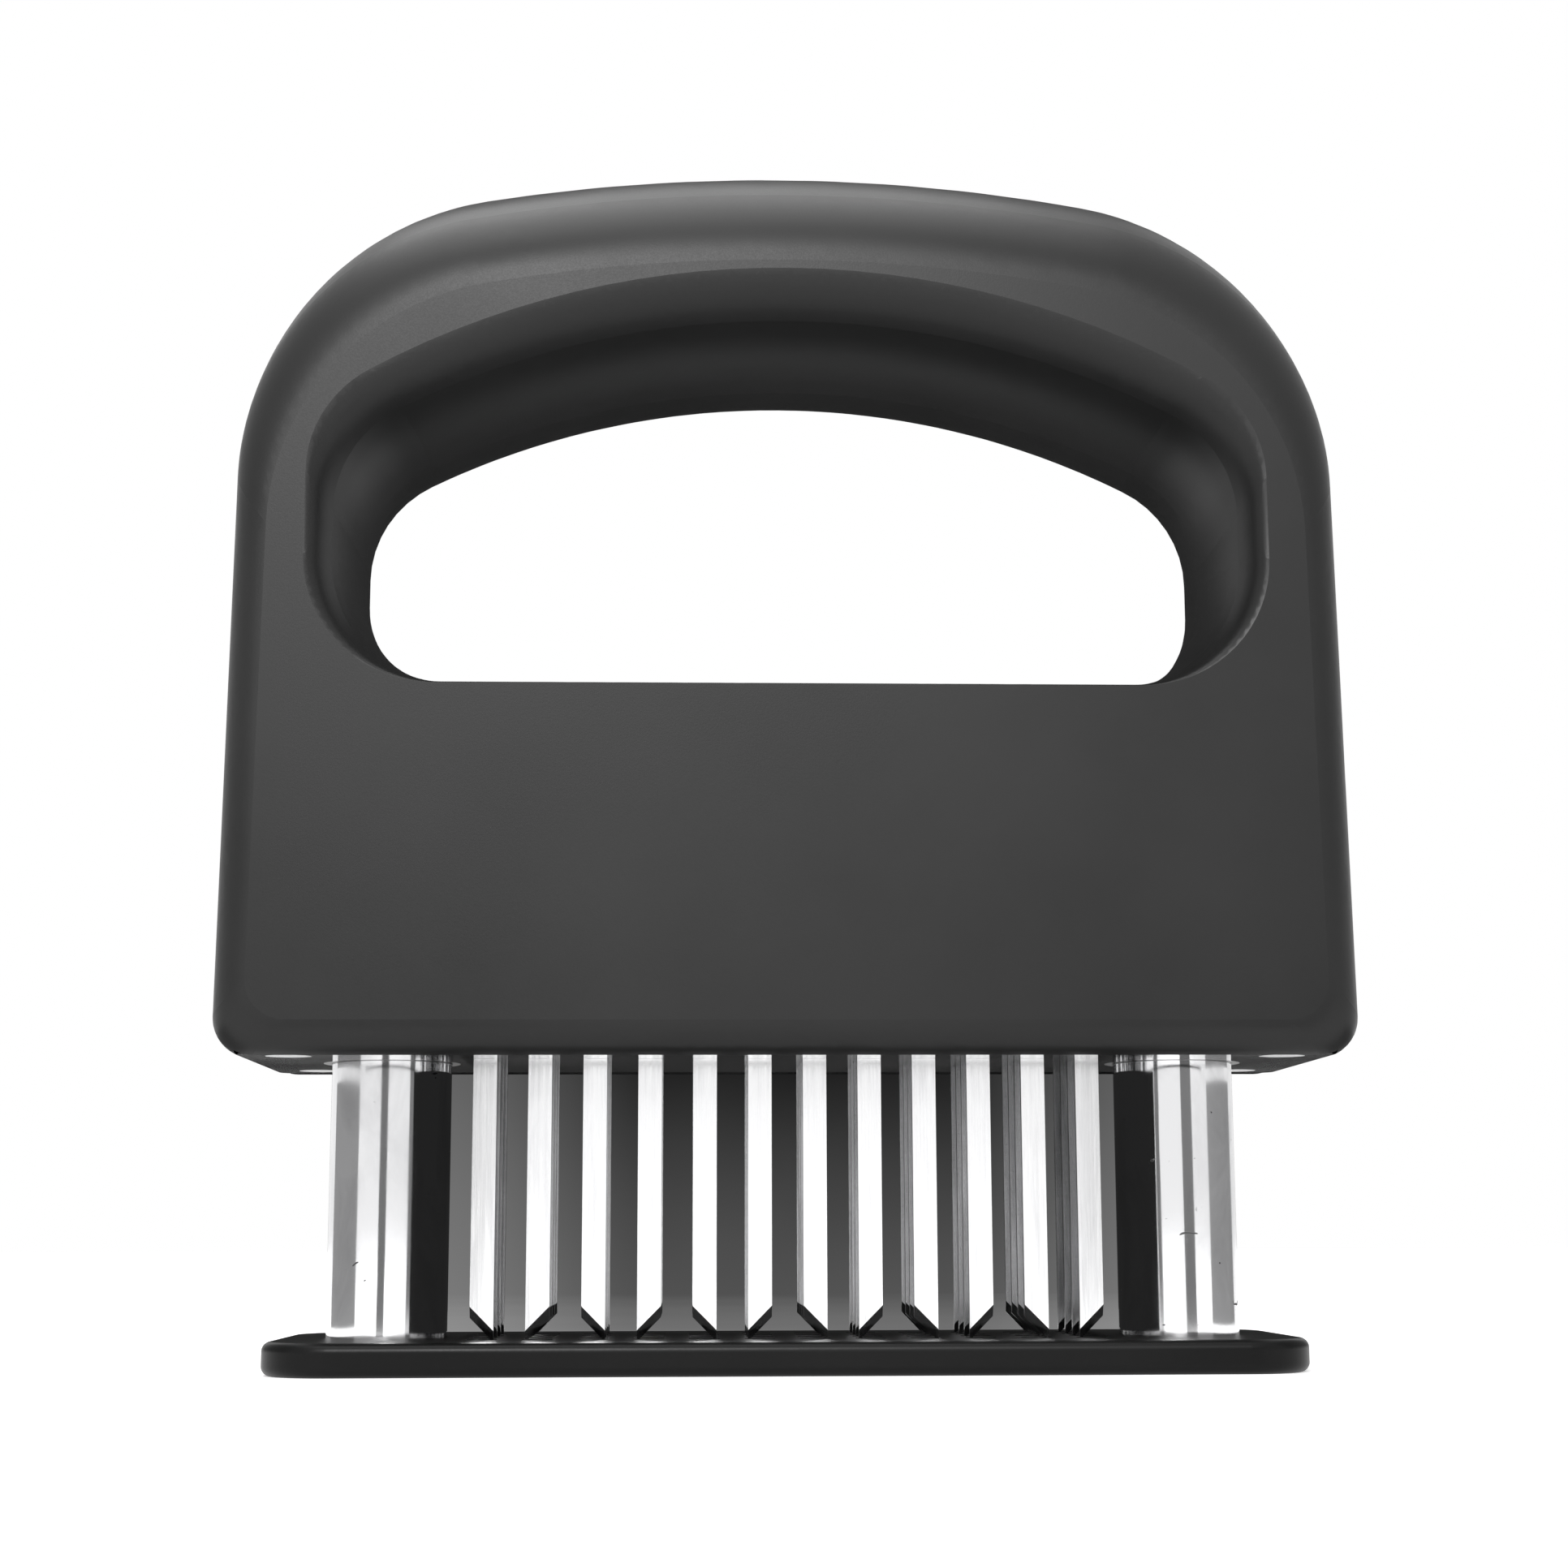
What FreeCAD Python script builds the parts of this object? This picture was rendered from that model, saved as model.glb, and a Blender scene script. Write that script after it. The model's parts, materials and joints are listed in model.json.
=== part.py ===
import FreeCAD, Part
import math
import os

import Sketcher

# Driving sizes in millimetres. Each is set once here and read from the sheet everywhere else.
SIZES = {
    # guard plate
    "plate_end_reach": 12.7,
    "plate_depth": 37.0,
    "plate_thickness": 3.8,
    "plate_corner_radius": 8.0,
    "plate_edge_rounding": 1.1,
    "column_seat_depth": 0.8,
    # blades
    "blade_pitch": 6.3,
    "row_pitch": 6.0,
    "blades_per_row": 12.0,
    "blade_width": 2.7,
    "blade_thickness": 0.8,
    "blade_tip_height": 3.5,
    "blade_top_gap": 0.1,
    "blade_facet": 0.9,
    "blade_land": 0.2,
    "rod_radius": 0.7,
    "rod_clearance": 0.05,
    "rod_below_roof": 3.5,
    # clearances
    "guard_slot_clearance": 0.4,
    "cover_slot_clearance": 0.15,
    "cartridge_clearance": 0.05,
    "running_clearance": 0.08,
    "fixed_clearance": 0.03,
    "collar_clearance": 0.4,
    # housing
    "housing_bottom": 35.0,
    "housing_top": 144.1,
    "housing_depth": 41.0,
    "column_to_side": 18.3,
    "side_taper": 0.8,
    "shoulder_radius": 34.0,
    "shoulder_fall_share": 0.25,
    "crown_radius": 210.0,
    "edge_rounding": 4.0,
    "crown_rounding": 16.2,
    "foot_corner_radius": 4.5,
    "wall": 2.6,
    # finger hole
    "hole_bottom": 78.0,
    "grip_height": 25.8,
    "upright_width": 12.9,
    "hole_crown_radius": 98.0,
    "hole_upper_radius": 14.0,
    "hole_lower_radius": 15.0,
    "hole_scoop_top": 8.6,
    "hole_scoop_side": 4.6,
    "hole_scoop_bottom": 0.8,
    # columns and what is in them
    "bush_end_gap": 1.35,
    "column_radius": 7.0,
    "column_wall": 1.5,
    "column_screw_radius": 1.6,
    "column_screw_head_radius": 3.0,
    "column_screw_length": 8.0,
    "plug_height": 6.5,
    "bush_wall": 1.0,
    "bush_length": 8.5,
    "collar_height": 3.0,
    "travel": 28.0,
    "post_flange_thickness": 1.5,
    "post_stud_radius": 2.5,
    "post_stud_length": 3.2,
    "post_side_gap": 1.05,
    "post_rod_gap": 2.0,
    "socket_wall": 3.0,
    "socket_boss_height": 7.6,
    "spring_wire_radius": 0.45,
    "spring_side_gap": 0.75,
    "spring_end_gap": 0.6,
    "spring_turns": 14.0,
    # blade frame and cover
    "cover_recess": 0.4,
    "cover_thickness": 3.0,
    "frame_roof_thickness": 3.0,
    "cartridge_height": 10.0,
    "cartridge_end_wall": 0.95,
    "cartridge_gap": 0.1,
    "frame_clearance": 0.3,
    "sleeve_wall": 1.6,
    "sleeve_height": 19.0,
    "web_thickness": 3.0,
    "web_height": 20.0,
    "web_end_inset": 4.95,
    # fasteners
    "cover_screw_side_inset": 8.0,
    "cover_screw_face_inset": 7.1,
    "cover_screw_length": 11.0,
    "cover_screw_radius": 1.25,
    "cover_screw_head_radius": 2.6,
    "shell_screw_radius": 1.25,
    "shell_screw_reach": 6.0,
    "shell_head_radius": 2.3,
    "shell_head_height": 1.8,
    "shell_recess_radius": 2.7,
    "shell_recess_depth": 7.0,
    "boss_radius": 4.4,
    "boss_side_gap": 0.2,
    "web_screw_inset": 8.0,
    "web_screw_drop": 4.4,
    "grip_screw_inset": 2.6,
    "grip_screw_drop": 1.0,
    # how far cutting forms run past what they cut
    "overrun": 2.0,
}

SIDES = {"left": -1, "right": 1}

# Lengths closer than this are equal
NEAR = 1e-5

doc = FreeCAD.newDocument("blade_tenderizer")
sheet = doc.addObject("Spreadsheet::Sheet", "Sizes")
for row, (alias, number) in enumerate(SIZES.items(), start=1):
    sheet.set(f"A{row}", alias)
    sheet.set(f"B{row}", str(number))
    sheet.setAlias(f"B{row}", alias)
doc.recompute()

parts = []


def size(alias):
    return float(sheet.get(alias))


def value(expression):
    """What an expression in the sheet's aliases comes to now."""
    return float(sheet.evalExpression(expression))


def named(text):
    """The same expression with each alias written as the sheet's own."""
    words = []
    word = ""
    for letter in text + " ":
        if letter.isalnum() or letter == "_":
            word += letter
            continue
        words.append(f"Sizes.{word}" if word in SIZES else word)
        words.append(letter)
        word = ""
    return "".join(words).strip()


def bind(thing, **expressions):
    """Ties properties to the sheet. Two underscores in a keyword stand for a dot."""
    for name, expression in expressions.items():
        thing.setExpression(name.replace("__", "."), named(expression))


def same(one, other):
    return abs(one - other) < NEAR


def keep(thing, name):
    thing.Label = name
    parts.append(thing)
    return thing


# Sizes and heights that several pieces share, worked out from the sheet's aliases
CARTRIDGE_HALF = "((blades_per_row - 1) * blade_pitch / 2 + blade_width / 2 + cartridge_end_wall)"
FIRST_BLADE_X = "(1 - blades_per_row) * blade_pitch / 2"
ROW_CENTRES = [f"{rank} * row_pitch" for rank in (-1.5, -0.5, 0.5, 1.5)]
ROWS_HALF = "(2 * row_pitch)"
BUSH_RADIUS = "(column_radius + bush_wall)"
COLUMN_BORE = "(column_radius - column_wall)"
COLUMN_X = f"({CARTRIDGE_HALF} + bush_end_gap + {BUSH_RADIUS})"
COLLAR_ROOM = f"({BUSH_RADIUS} + collar_clearance)"
SPRING_RADIUS = f"({COLUMN_BORE} - spring_side_gap - spring_wire_radius)"
BASE_HALF = f"({COLUMN_X} + column_to_side)"
SHOULDER_HALF = f"({BASE_HALF} - side_taper)"
HOLE_HALF = f"({SHOULDER_HALF} - upright_width)"
HOLE_TOP = "(housing_top - grip_height)"
HALF_DEPTH = "(housing_depth / 2)"
UNDERSIDE = "(housing_bottom + cover_recess)"
COVER_TOP = f"({UNDERSIDE} + cover_thickness)"
FRAME_ROOF = f"({COVER_TOP} + cartridge_height)"
CAVITY_CEILING = "(hole_bottom - wall)"
COLLAR_BOTTOM = f"({UNDERSIDE} + bush_length)"
COLUMN_TOP = f"({COLLAR_BOTTOM} + collar_height)"
COLUMN_FOOT = "(plate_thickness - column_seat_depth)"
PLUG_TOP = f"({COLUMN_FOOT} + plug_height)"
SPRING_TOP = f"({CAVITY_CEILING} - post_flange_thickness)"
ROD_HEIGHT = f"({FRAME_ROOF} - rod_below_roof)"
WEB_HALF = f"({CARTRIDGE_HALF} - web_end_inset)"
WEB_TOP = f"({FRAME_ROOF} + web_height)"
COVER_SCREW_X = f"({BASE_HALF} - cover_screw_side_inset)"
COVER_SCREW_Y = f"({HALF_DEPTH} - cover_screw_face_inset)"
WEB_SCREW = (f"({WEB_HALF} - web_screw_inset)", f"({WEB_TOP} - web_screw_drop)")
GRIP_SCREW = (f"({HOLE_HALF} - grip_screw_inset)", f"({HOLE_TOP} - grip_screw_drop)")
SCREW_SEAT = f"({HALF_DEPTH} - shell_recess_depth)"


# Sketch and body helpers
def new_body(name):
    return keep(doc.addObject("PartDesign::Body", name), name)


def origin_plane(body, role):
    return next(feature for feature in body.Origin.OriginFeatures if feature.Role == role)


def new_sketch(body, role, name, offset="0"):
    """A sketch on the body's own plane, moved along that plane's normal."""
    sketch = body.newObject("Sketcher::SketchObject", name)
    sketch.AttachmentSupport = [(origin_plane(body, role), "")]
    sketch.MapMode = "FlatFace"
    sketch.setExpression(".AttachmentOffset.Base.z", named(offset))
    return sketch


def pinned(element, point, across, up):
    """Constraints that hold one point of a sketch at two expressions, each with its expression."""
    held = []
    for kind, expression, axis in (("DistanceX", across, -2), ("DistanceY", up, -1)):
        distance = value(named(expression))
        if same(distance, 0):
            held.append((Sketcher.Constraint("PointOnObject", element, point, axis), None))
        else:
            held.append((Sketcher.Constraint(kind, -1, 1, element, point, distance), expression))
    return held


def constrain(sketch, held):
    first = sketch.ConstraintCount
    sketch.addConstraint([constraint for constraint, _ in held])
    for index, (_, expression) in enumerate(held, start=first):
        if expression:
            sketch.setExpression(f"Constraints[{index}]", named(expression))


def draw_outline(sketch, corners):
    """A closed run of straight lines through corners, each a pair of expressions."""
    first = sketch.GeometryCount
    points = [FreeCAD.Vector(value(named(x)), value(named(y))) for x, y in corners]
    count = len(points)
    held = []
    for index, (x, y) in enumerate(corners):
        following = (index + 1) % count
        sketch.addGeometry(Part.LineSegment(points[index], points[following]))
        held.append((Sketcher.Constraint("Coincident", first + index, 2, first + following, 1), None))
        held += pinned(first + index, 1, x, y)
    constrain(sketch, held)


def draw_box(sketch, x, y, half_width, half_height):
    """A rectangle about a centre, from its half sizes."""
    left, right = f"{x} - ({half_width})", f"{x} + ({half_width})"
    low, high = f"{y} - ({half_height})", f"{y} + ({half_height})"
    draw_outline(sketch, [(left, low), (right, low), (right, high), (left, high)])


def draw_circle(sketch, x, y, radius):
    centre = FreeCAD.Vector(value(named(x)), value(named(y)))
    reach = value(named(radius))
    element = sketch.addGeometry(Part.Circle(centre, FreeCAD.Vector(0, 0, 1), reach))
    constrain(sketch, pinned(element, 3, x, y) + [(Sketcher.Constraint("Radius", element, reach), radius)])


def pad(body, sketch, name, length, symmetric=False):
    feature = body.newObject("PartDesign::Pad", name)
    feature.Profile = sketch
    feature.SideType = "Symmetric" if symmetric else "One side"
    bind(feature, Length=length)
    body.Tip = feature
    doc.recompute()
    return feature


def pocket(body, sketch, name, length, reverse=False):
    """Cuts along the sketch's normal, or against it, and makes sure that it cut."""
    before = body.Shape.Volume
    feature = body.newObject("PartDesign::Pocket", name)
    feature.Profile = sketch
    feature.Reversed = reverse
    bind(feature, Length=length)
    body.Tip = feature
    doc.recompute()
    if body.Shape.Volume > before - NEAR:
        raise ValueError(f"{name} cuts nothing")
    return feature


def repeat_along_x(body, sketch, feature, name, pitch, count):
    pattern = body.newObject("PartDesign::LinearPattern", name)
    pattern.Originals = [feature]
    pattern.Direction = (sketch, ["H_Axis"])
    bind(pattern, Length=f"({count} - 1) * {pitch}", Occurrences=count)
    body.Tip = pattern
    doc.recompute()
    return pattern


def turned(name, half_outline, x="0"):
    """A turned piece: a half outline of radius and height, turned about a vertical line at x."""
    body = new_body(name)
    sketch = new_sketch(body, "XZ_Plane", f"{name}_outline")
    draw_outline(sketch, half_outline)
    revolution = body.newObject("PartDesign::Revolution", f"{name}_turned")
    revolution.Profile = sketch
    revolution.ReferenceAxis = (sketch, ["V_Axis"])
    revolution.Angle = 360
    body.Tip = revolution
    body.setExpression(".Placement.Base.x", named(x))
    doc.recompute()
    return body


def edges_where(shape, test):
    return [f"Edge{index}" for index, edge in enumerate(shape.Edges, start=1) if test(edge)]


def rims_of_holes(shape, height, radius):
    """Round edges of one radius that lie flat at one height."""
    level, reach = value(named(height)), value(named(radius))
    return edges_where(shape, lambda edge: isinstance(edge.Curve, Part.Circle)
                       and same(edge.BoundBox.ZMin, level)
                       and same(edge.BoundBox.ZMax, level)
                       and same(edge.Curve.Radius, reach))


def dress(body, kind, name, base, names, **expressions):
    """A fillet or chamfer on named edges of the feature before it."""
    feature = body.newObject(f"PartDesign::{kind}", name)
    feature.Base = (base, names)
    if "Size2" in expressions:
        feature.ChamferType = "Two distances"
        feature.FlipDirection = True
    bind(feature, **expressions)
    body.Tip = feature
    doc.recompute()
    return feature


# Guard plate: rounded slab, a slot for each blade, seats for the columns and sinks for their screws
def make_guard_plate():
    body = new_body("guard_plate")
    sketch = new_sketch(body, "XY_Plane", "plate_outline")
    draw_box(sketch, "0", "0", f"{COLUMN_X} + plate_end_reach", "plate_depth / 2")
    slab = pad(body, sketch, "plate_slab", "plate_thickness")
    upright = edges_where(slab.Shape, lambda edge: edge.BoundBox.ZLength > size("plate_thickness") / 2)
    corners = dress(body, "Fillet", "plate_corners", slab, upright, Radius="plate_corner_radius")
    rims = edges_where(corners.Shape, lambda edge: same(edge.BoundBox.ZLength, 0))
    dress(body, "Fillet", "plate_rims", corners, rims, Radius="plate_edge_rounding")

    slots = new_sketch(body, "XY_Plane", "plate_slots")
    for centre in ROW_CENTRES:
        draw_box(slots, FIRST_BLADE_X, centre, "blade_width / 2 + guard_slot_clearance",
                 "blade_thickness / 2 + guard_slot_clearance")
    first = pocket(body, slots, "plate_slot", "plate_thickness", reverse=True)
    repeat_along_x(body, slots, first, "plate_slot_pattern", "blade_pitch", "blades_per_row")

    seats = new_sketch(body, "XY_Plane", "column_seats", COLUMN_FOOT)
    holes = new_sketch(body, "XY_Plane", "column_screw_holes")
    for side in SIDES.values():
        draw_circle(seats, f"{side} * {COLUMN_X}", "0", "column_radius + fixed_clearance")
        draw_circle(holes, f"{side} * {COLUMN_X}", "0", "column_screw_radius + fixed_clearance")
    pocket(body, seats, "column_seat", "column_seat_depth", reverse=True)
    pocket(body, holes, "column_screw_hole", "plate_thickness", reverse=True)
    dress(body, "Chamfer", "column_screw_sink", body.Tip,
          rims_of_holes(body.Shape, "0", "column_screw_radius + fixed_clearance"),
          Size="column_screw_head_radius - column_screw_radius")


# Blades: flat strips with a 45 degree point cut left and right in turn, and a ground facet along the cut
def make_blade_row(number, centre):
    name = f"blade_row_{number}"
    body = new_body(name)
    body.AllowCompound = True
    sketch = new_sketch(body, "XZ_Plane", f"{name}_outline", f"-({centre})")
    for index in range(int(size("blades_per_row"))):
        middle = f"{FIRST_BLADE_X} + {index} * blade_pitch"
        lean = -1 if index % 2 == 0 else 1
        short = f"{middle} + {lean} * blade_width / 2"
        long = f"{middle} - {lean} * blade_width / 2"
        top = f"{FRAME_ROOF} - blade_top_gap"
        tip = "blade_tip_height"
        corners = [(short, top), (short, f"{tip} + blade_width"), (long, tip), (long, top)]
        draw_outline(sketch, corners)
        draw_circle(sketch, middle, ROD_HEIGHT, "rod_radius + rod_clearance")
    strips = pad(body, sketch, f"{name}_strips", "blade_thickness", symmetric=True)
    front = value(named(f"{centre} - blade_thickness / 2"))
    facets = edges_where(strips.Shape, lambda edge: same(edge.BoundBox.YMin, front)
                         and same(edge.BoundBox.YMax, front)
                         and same(edge.BoundBox.XLength, edge.BoundBox.ZLength)
                         and isinstance(edge.Curve, Part.Line))
    dress(body, "Chamfer", f"{name}_facets", strips, facets,
          Size="blade_facet", Size2="blade_thickness - blade_land")


# Cartridge: the plastic strip that spaces one row of blades, with a bore across it for each rod
def make_blade_cartridge(number, centre):
    name = f"blade_cartridge_{number}"
    body = new_body(name)
    block = new_sketch(body, "XY_Plane", f"{name}_block", COVER_TOP)
    draw_box(block, "0", centre, CARTRIDGE_HALF, "(row_pitch - cartridge_gap) / 2")
    pad(body, block, f"{name}_pad", "cartridge_height")
    slots = new_sketch(body, "XY_Plane", f"{name}_slots", COVER_TOP)
    draw_box(slots, FIRST_BLADE_X, centre, "blade_width / 2 + cartridge_clearance",
             "blade_thickness / 2 + cartridge_clearance")
    first = pocket(body, slots, f"{name}_slot", "cartridge_height", reverse=True)
    repeat_along_x(body, slots, first, f"{name}_slot_pattern", "blade_pitch", "blades_per_row")
    bore = new_sketch(body, "XZ_Plane", f"{name}_bore", f"row_pitch - ({centre})")
    draw_circle(bore, FIRST_BLADE_X, ROD_HEIGHT, "rod_radius + rod_clearance")
    first_bore = pocket(body, bore, f"{name}_rod_bore", "2 * row_pitch")
    repeat_along_x(body, bore, first_bore, f"{name}_rod_bore_pattern", "blade_pitch", "blades_per_row")


# Retaining rods: each goes from front to rear through the four cartridges and the four blades between them
def make_retaining_rods():
    rods = []
    for index in range(int(size("blades_per_row"))):
        rods.append(cylinder("retaining_rod", "rod_radius", f"2 * {ROWS_HALF} - cartridge_gap",
                             f"{FIRST_BLADE_X} + {index} * blade_pitch", f"cartridge_gap / 2 - {ROWS_HALF}",
                             ROD_HEIGHT, 1))
    solid_group("retaining_rods", rods)


# Blade frame: open below for the cartridges, with a sleeve round each column and a web above
def make_blade_frame():
    body = new_body("blade_frame")
    half_width = f"{SHOULDER_HALF} - wall - frame_clearance - edge_rounding / 2"
    half_depth = f"{HALF_DEPTH} - wall - frame_clearance"
    block = new_sketch(body, "XY_Plane", "frame_block", COVER_TOP)
    draw_box(block, "0", "0", half_width, half_depth)
    pad(body, block, "frame_pad", "cartridge_height + frame_roof_thickness")

    sleeves = new_sketch(body, "XY_Plane", "frame_sleeves", COVER_TOP)
    bores = new_sketch(body, "XY_Plane", "frame_bores", COVER_TOP)
    runs = new_sketch(body, "XY_Plane", "frame_collar_runs", COLLAR_BOTTOM)
    screw_holes = new_sketch(body, "XY_Plane", "frame_screw_holes", COVER_TOP)
    for side in SIDES.values():
        middle = f"{side} * {COLUMN_X}"
        draw_circle(sleeves, middle, "0", f"{COLLAR_ROOM} + sleeve_wall")
        draw_circle(bores, middle, "0", f"{BUSH_RADIUS} + fixed_clearance")
        draw_circle(runs, middle, "0", COLLAR_ROOM)
        for row in SIDES.values():
            draw_circle(screw_holes, f"{side} * {COVER_SCREW_X}", f"{row} * {COVER_SCREW_Y}",
                        "cover_screw_radius + fixed_clearance")
    pad(body, sleeves, "frame_sleeve_pad", "sleeve_height")
    web = new_sketch(body, "XZ_Plane", "frame_web")
    draw_outline(web, [(f"-{WEB_HALF}", FRAME_ROOF), (WEB_HALF, FRAME_ROOF), (WEB_HALF, WEB_TOP),
                       (f"-{WEB_HALF}", WEB_TOP)])
    pad(body, web, "frame_web_pad", "web_thickness", symmetric=True)

    window = new_sketch(body, "XY_Plane", "frame_window", COVER_TOP)
    draw_box(window, "0", "0", f"{CARTRIDGE_HALF} + cartridge_clearance", ROWS_HALF)
    pocket(body, window, "frame_window_cut", "cartridge_height", reverse=True)
    pocket(body, bores, "frame_bore_cut", "sleeve_height", reverse=True)
    pocket(body, runs, "frame_collar_run_cut", "sleeve_height", reverse=True)
    pocket(body, screw_holes, "frame_screw_hole_cut", "cover_screw_length", reverse=True)
    screw_ways = new_sketch(body, "XZ_Plane", "frame_screw_ways", "web_thickness")
    for side in SIDES.values():
        draw_circle(screw_ways, f"{side} * {WEB_SCREW[0]}", WEB_SCREW[1],
                    "shell_screw_radius + fixed_clearance")
    pocket(body, screw_ways, "frame_screw_way_cut", "2 * web_thickness")


# Base cover: the glossy plate that closes the underside
def make_base_cover():
    body = new_body("base_cover")
    sketch = new_sketch(body, "XY_Plane", "cover_outline", UNDERSIDE)
    draw_box(sketch, "0", "0", f"{BASE_HALF} - wall - fixed_clearance",
             f"{HALF_DEPTH} - wall - fixed_clearance")
    slab = pad(body, sketch, "cover_slab", "cover_thickness")
    upright = edges_where(slab.Shape, lambda edge: edge.BoundBox.ZLength > size("cover_thickness") / 2)
    dress(body, "Fillet", "cover_corners", slab, upright, Radius="edge_rounding / 2")
    slots = new_sketch(body, "XY_Plane", "cover_slots", UNDERSIDE)
    for centre in ROW_CENTRES:
        draw_box(slots, FIRST_BLADE_X, centre, "blade_width / 2 + cover_slot_clearance",
                 "blade_thickness / 2 + cover_slot_clearance")
    first = pocket(body, slots, "cover_slot", "cover_thickness", reverse=True)
    repeat_along_x(body, slots, first, "cover_slot_pattern", "blade_pitch", "blades_per_row")
    bores = new_sketch(body, "XY_Plane", "cover_bush_bores", UNDERSIDE)
    holes = new_sketch(body, "XY_Plane", "cover_screw_holes", UNDERSIDE)
    for side in SIDES.values():
        draw_circle(bores, f"{side} * {COLUMN_X}", "0", f"{BUSH_RADIUS} + fixed_clearance")
        for row in SIDES.values():
            draw_circle(holes, f"{side} * {COVER_SCREW_X}", f"{row} * {COVER_SCREW_Y}",
                        "cover_screw_radius + fixed_clearance")
    pocket(body, bores, "cover_bush_bore", "cover_thickness", reverse=True)
    pocket(body, holes, "cover_screw_hole", "cover_thickness", reverse=True)
    dress(body, "Chamfer", "cover_screw_sink", body.Tip,
          rims_of_holes(body.Shape, UNDERSIDE, "cover_screw_radius + fixed_clearance"),
          Size="cover_screw_head_radius - cover_screw_radius")


# Pieces on each column's line
def make_column_pieces(side_name, side):
    x = f"{side} * {COLUMN_X}"
    screw_hole = "(column_screw_radius + fixed_clearance)"
    turned(f"{side_name}_column", [
        (COLUMN_BORE, COLUMN_FOOT), ("column_radius", COLUMN_FOOT), ("column_radius", COLUMN_TOP),
        (COLUMN_BORE, COLUMN_TOP)], x)
    plug = f"({COLUMN_BORE} - fixed_clearance)"
    turned(f"{side_name}_column_plug", [
        (screw_hole, COLUMN_FOOT), (plug, COLUMN_FOOT), (plug, PLUG_TOP), (screw_hole, PLUG_TOP)], x)
    head = "(column_screw_head_radius - fixed_clearance * 2)"
    sink = "(column_screw_head_radius - column_screw_radius)"
    turned(f"{side_name}_column_screw", [
        ("0", "fixed_clearance"), (head, "fixed_clearance"), ("column_screw_radius", sink),
        ("column_screw_radius", "column_screw_length"), ("0", "column_screw_length")], x)
    collar_bore = "(column_radius + fixed_clearance)"
    turned(f"{side_name}_stop_collar", [
        (collar_bore, COLLAR_BOTTOM), (BUSH_RADIUS, COLLAR_BOTTOM), (BUSH_RADIUS, COLUMN_TOP),
        (collar_bore, COLUMN_TOP)], x)
    running = "(column_radius + running_clearance)"
    turned(f"{side_name}_guide_bush", [
        (running, UNDERSIDE), (BUSH_RADIUS, UNDERSIDE), (BUSH_RADIUS, COLLAR_BOTTOM),
        (running, COLLAR_BOTTOM)], x)
    flange = f"({COLUMN_BORE} - collar_clearance)"
    rod = f"({SPRING_RADIUS} - spring_wire_radius - post_side_gap)"
    rod_end = f"{PLUG_TOP} + travel + post_rod_gap"
    stud_top = f"{CAVITY_CEILING} + post_stud_length"
    turned(f"{side_name}_spring_post", [
        ("0", rod_end), (rod, rod_end), (rod, SPRING_TOP), (flange, SPRING_TOP), (flange, CAVITY_CEILING),
        ("post_stud_radius", CAVITY_CEILING), ("post_stud_radius", stud_top), ("0", stud_top)], x)


def bent(start, direction, end):
    """The arc that leaves start along a direction and reaches end."""
    chord = end - start
    reach = chord.Length
    chord.normalize()
    bow = direction - chord * direction.dot(chord)
    bow.normalize()
    swing = math.acos(direction.dot(chord))
    middle = (start + end) * 0.5 + bow * (reach / 2 * math.tan(swing / 2))
    return Part.Arc(start, middle, end).toShape()


def biarc(start, leaving, end, arriving):
    """Two arcs that touch each other, between two points with the directions at them."""
    span = end - start
    both = leaving + arriving
    spread = 2 * (1 - leaving.dot(arriving))
    pull = (math.sqrt(span.dot(both) ** 2 + spread * span.dot(span)) - span.dot(both)) / spread
    joint = (start + end + (leaving - arriving) * pull) * 0.5
    return [bent(start, leaving, joint), bent(end, arriving * -1, joint)]


def least_gap(path, wire, turns):
    """Least gap of a coil to itself, measured on points at least three quarters of a turn apart."""
    per_turn = 48
    points = path.discretize(Number=turns * per_turn)
    apart = 3 * per_turn // 4
    return min(start.distanceToPoint(end) for index, start in enumerate(points)
               for end in points[index + apart:index + 2 * per_turn]) - 2 * wire


# Return spring: round wire on quarter-turn biarcs, with a flatter turn at each end
def make_spring(side_name, side):
    wire = size("spring_wire_radius")
    radius = value(named(SPRING_RADIUS))
    turns = int(size("spring_turns"))
    bottom = value(named(PLUG_TOP)) + wire + size("fixed_clearance")
    top = value(named(SPRING_TOP)) - wire - size("fixed_clearance")
    end_rise = 2 * wire + size("spring_end_gap")
    open_rise = (top - bottom - 2 * end_rise) / (turns - 2)
    rises = [0] + [end_rise / 4] * 4 + [open_rise / 4] * 4 * (turns - 2) + [end_rise / 4] * 4 + [0]
    points = []
    directions = []
    height = bottom
    for quarter, rise in enumerate(rises[:-1]):
        angle = math.pi / 2 * quarter
        height += rise
        points.append(FreeCAD.Vector(radius * math.cos(angle), radius * math.sin(angle), height))
        slope = (rise + rises[quarter + 1]) / math.pi
        direction = FreeCAD.Vector(-radius * math.sin(angle), radius * math.cos(angle), slope)
        directions.append(direction.normalize())
    edges = []
    for index in range(len(points) - 1):
        edges += biarc(points[index], directions[index], points[index + 1], directions[index + 1])
    path = Part.Wire(Part.__sortEdges__(edges))
    section = Part.Wire([Part.Circle(points[0], directions[0], wire).toShape()])
    coil = Part.BRepOffsetAPI.MakePipeShell(path)
    coil.add(section)
    coil.build()
    coil.makeSolid()
    print(f"{side_name} spring: least gap between turns {least_gap(path, wire, turns):.2f} mm")
    spring = keep(doc.addObject("Part::Feature", f"{side_name}_spring"), f"{side_name}_spring")
    spring.Shape = coil.shape()
    spring.Placement.Base = FreeCAD.Vector(side * value(named(COLUMN_X)), 0, 0)


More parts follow.
